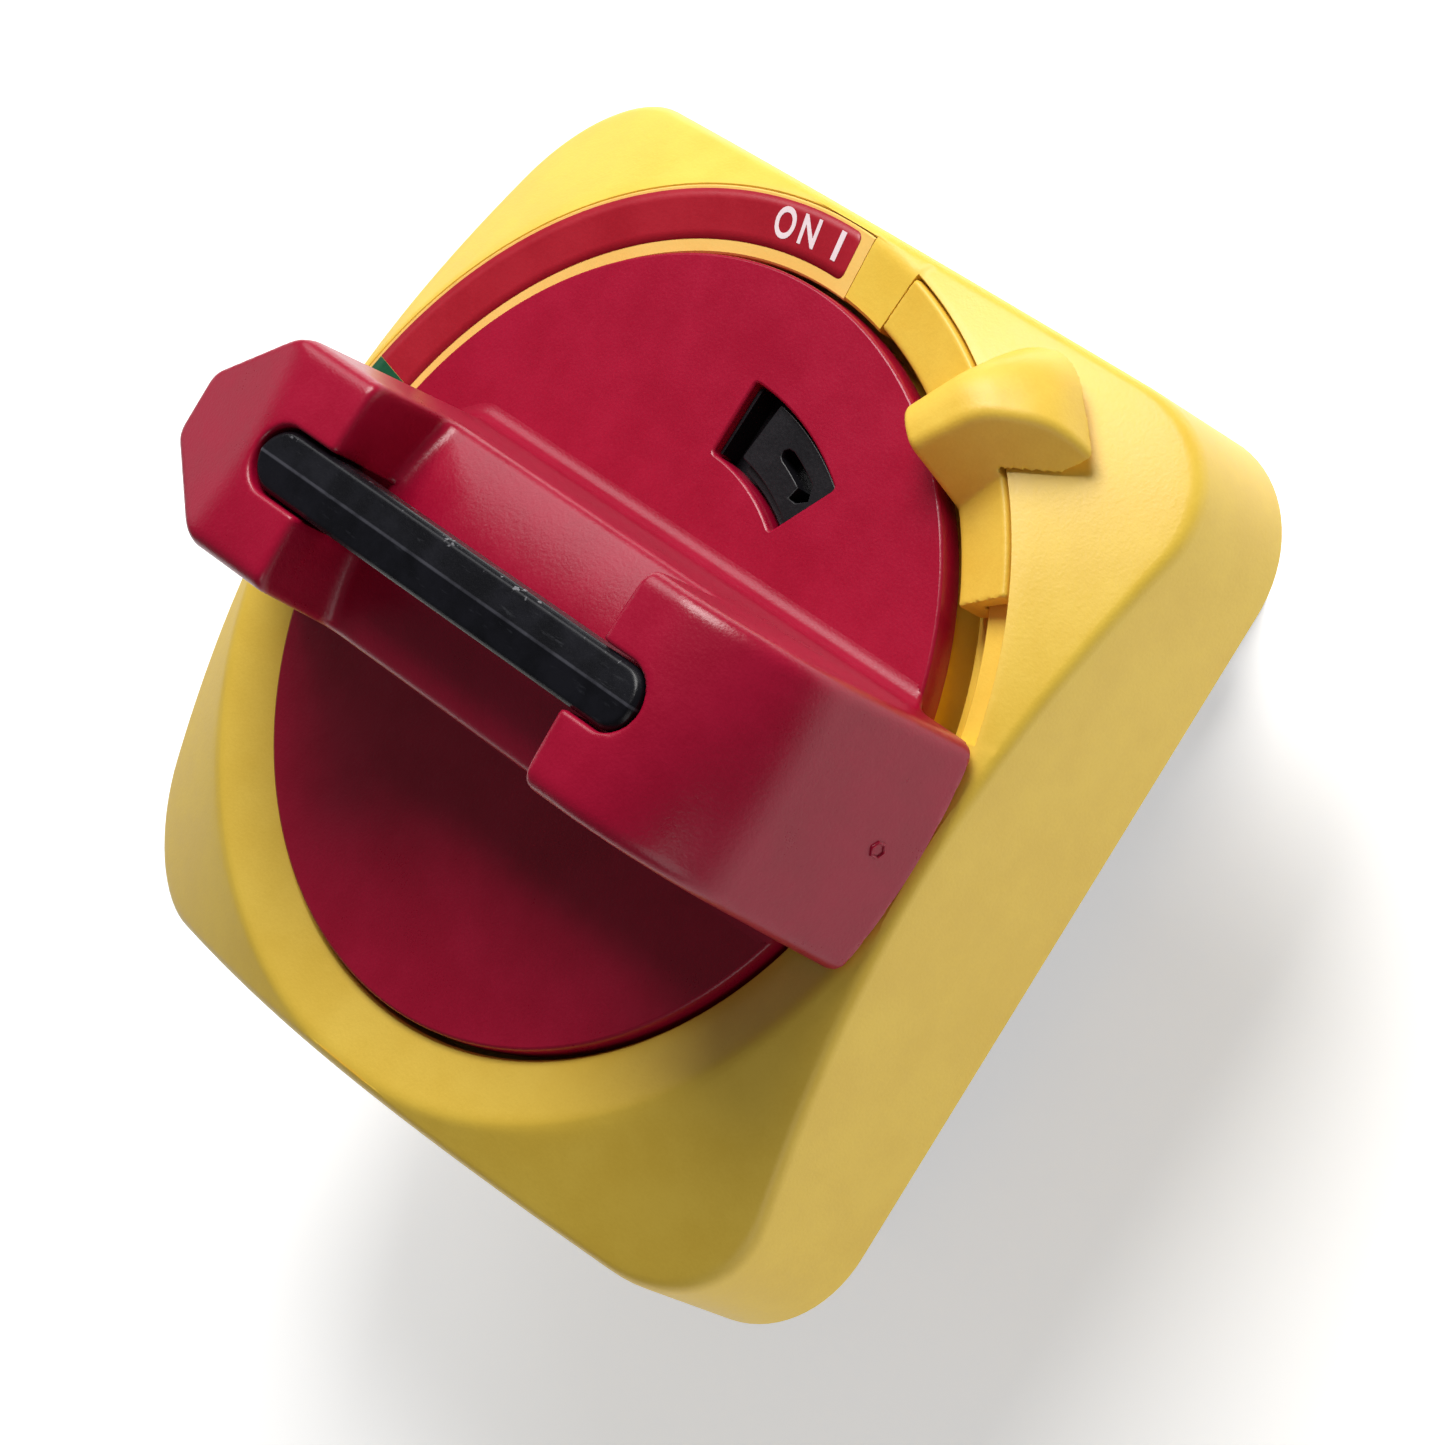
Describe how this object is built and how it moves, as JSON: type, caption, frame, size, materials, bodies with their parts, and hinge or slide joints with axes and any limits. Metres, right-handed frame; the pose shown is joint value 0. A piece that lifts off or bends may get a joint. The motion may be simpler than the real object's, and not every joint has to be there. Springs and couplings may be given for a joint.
{
  "type": "rotary isolator switch",
  "caption": "Panel-mounted rotary isolator: square yellow front plate, red padlockable grip handle with a sprung bar, interlock slider, and a cam-operated contact body behind the panel.",
  "frame": {"origin": "on the shaft axis, at the rear cover's outer face, under the middle of the square plate", "axes": "+Z out of the panel towards the user, +Y up the panel, +X to the right as the user sees it"},
  "size_m": [0.09, 0.09, 0.0804],
  "materials": {
    "yellow_plastic": "satin moulded thermoplastic with a fine texture",
    "label_print": "printed arc label: red ON part, green OFF part, pale yellow edge",
    "red_plastic": "satin moulded thermoplastic with a fine texture",
    "black_bar": "semi-gloss moulding with small handling marks",
    "black_plastic": "satin",
    "grey_plastic": "satin",
    "natural_plastic": "uncoloured nylon",
    "rubber": "matte",
    "shaft_steel": "zinc plated, drawn",
    "spring_steel": "bright spring wire",
    "screw_steel": "zinc plated",
    "contact_brass": "bright strip"
  },
  "bodies": {
    "switch_body": {"front_plate": "yellow_plastic", "panel_gasket": "rubber", "label_strip": "label_print", "plate_screw_1": "screw_steel", "plate_screw_2": "screw_steel", "plate_screw_3": "screw_steel", "plate_screw_4": "screw_steel", "mechanism_housing": "grey_plastic", "detent_spring_1": "spring_steel", "detent_spring_2": "spring_steel", "deck_housing_1": "black_plastic", "deck_housing_2": "grey_plastic", "contact_spring_1": "spring_steel", "contact_spring_2": "spring_steel", "contact_spring_3": "spring_steel", "contact_spring_4": "spring_steel", "fixed_contact_1a": "contact_brass", "fixed_contact_1b": "contact_brass", "fixed_contact_1c": "contact_brass", "fixed_contact_1d": "contact_brass", "fixed_contact_2a": "contact_brass", "fixed_contact_2b": "contact_brass", "fixed_contact_2c": "contact_brass", "fixed_contact_2d": "contact_brass", "terminal_screw_1a": "screw_steel", "terminal_screw_1b": "screw_steel", "terminal_screw_1c": "screw_steel", "terminal_screw_1d": "screw_steel", "terminal_screw_2a": "screw_steel", "terminal_screw_2b": "screw_steel", "terminal_screw_2c": "screw_steel", "terminal_screw_2d": "screw_steel", "rear_cover": "black_plastic", "assembly_bolt_1": "screw_steel", "assembly_bolt_2": "screw_steel"},
    "handle_assembly": {"handle": "red_plastic", "lock_plate": "black_plastic", "drive_coupler": "black_plastic", "retaining_clip": "shaft_steel", "drive_shaft": "shaft_steel", "detent_star": "natural_plastic", "switching_cam_1": "natural_plastic", "switching_cam_2": "natural_plastic", "bar_spring_1": "spring_steel", "bar_spring_2": "spring_steel"},
    "padlock_bar": {"padlock_bar": "black_bar"},
    "slider": {"interlock_slider": "yellow_plastic"},
    "detent_1": {"detent_plunger_1": "natural_plastic"},
    "detent_2": {"detent_plunger_2": "natural_plastic"},
    "contact_1": {"contact_carrier_1": "natural_plastic", "contact_bridge_1": "contact_brass"},
    "contact_2": {"contact_carrier_2": "natural_plastic", "contact_bridge_2": "contact_brass"},
    "contact_3": {"contact_carrier_3": "natural_plastic", "contact_bridge_3": "contact_brass"},
    "contact_4": {"contact_carrier_4": "natural_plastic", "contact_bridge_4": "contact_brass"}
  },
  "joints": [
    {"name": "handle_turn", "type": "hinge", "parent": "switch_body", "child": "handle_assembly", "pos_m": [0, 0, 0.053], "axis": [0, 0, 1], "range_deg": [-90, 0]},
    {"name": "bar_press", "type": "slide", "parent": "handle_assembly", "child": "padlock_bar", "axis": [0, 0, 1], "range_m": [-0.0032, 0], "stiffness_N_per_m": 200, "springref_m": 0.002, "deforming": ["bar_spring_1", "bar_spring_2"]},
    {"name": "slider_slide", "type": "hinge", "parent": "switch_body", "child": "slider", "pos_m": [0, 0, 0.051], "axis": [0, 0, 1], "range_deg": [-16, 0]},
    {"name": "detent_slide_1", "type": "slide", "parent": "switch_body", "child": "detent_1", "axis": [0, 1, 0], "range_m": [0, 0.0015], "stiffness_N_per_m": 500, "springref_m": -0.001, "deforming": ["detent_spring_1"]},
    {"name": "detent_slide_2", "type": "slide", "parent": "switch_body", "child": "detent_2", "axis": [0, -1, 0], "range_m": [0, 0.0015], "deforming": ["detent_spring_2"]},
    {"name": "contact_slide_1", "type": "slide", "parent": "switch_body", "child": "contact_1", "axis": [1, 0, 0], "range_m": [-0.0022, 0], "deforming": ["contact_spring_1"]},
    {"name": "contact_slide_2", "type": "slide", "parent": "switch_body", "child": "contact_2", "axis": [-1, 0, 0], "range_m": [-0.0022, 0], "deforming": ["contact_spring_2"]},
    {"name": "contact_slide_3", "type": "slide", "parent": "switch_body", "child": "contact_3", "axis": [1, 0, 0], "range_m": [-0.0022, 0], "deforming": ["contact_spring_3"]},
    {"name": "contact_slide_4", "type": "slide", "parent": "switch_body", "child": "contact_4", "axis": [-1, 0, 0], "range_m": [-0.0022, 0], "deforming": ["contact_spring_4"]}
  ],
  "couplings": [
    {"joint": "detent_slide_2", "follows": "detent_slide_1", "ratio": 1},
    {"joint": "contact_slide_1", "follows": "handle_turn", "m_per_rad": 0.0014},
    {"joint": "contact_slide_2", "follows": "handle_turn", "m_per_rad": 0.0014},
    {"joint": "contact_slide_3", "follows": "handle_turn", "m_per_rad": 0.0014},
    {"joint": "contact_slide_4", "follows": "handle_turn", "m_per_rad": 0.0014}
  ]
}
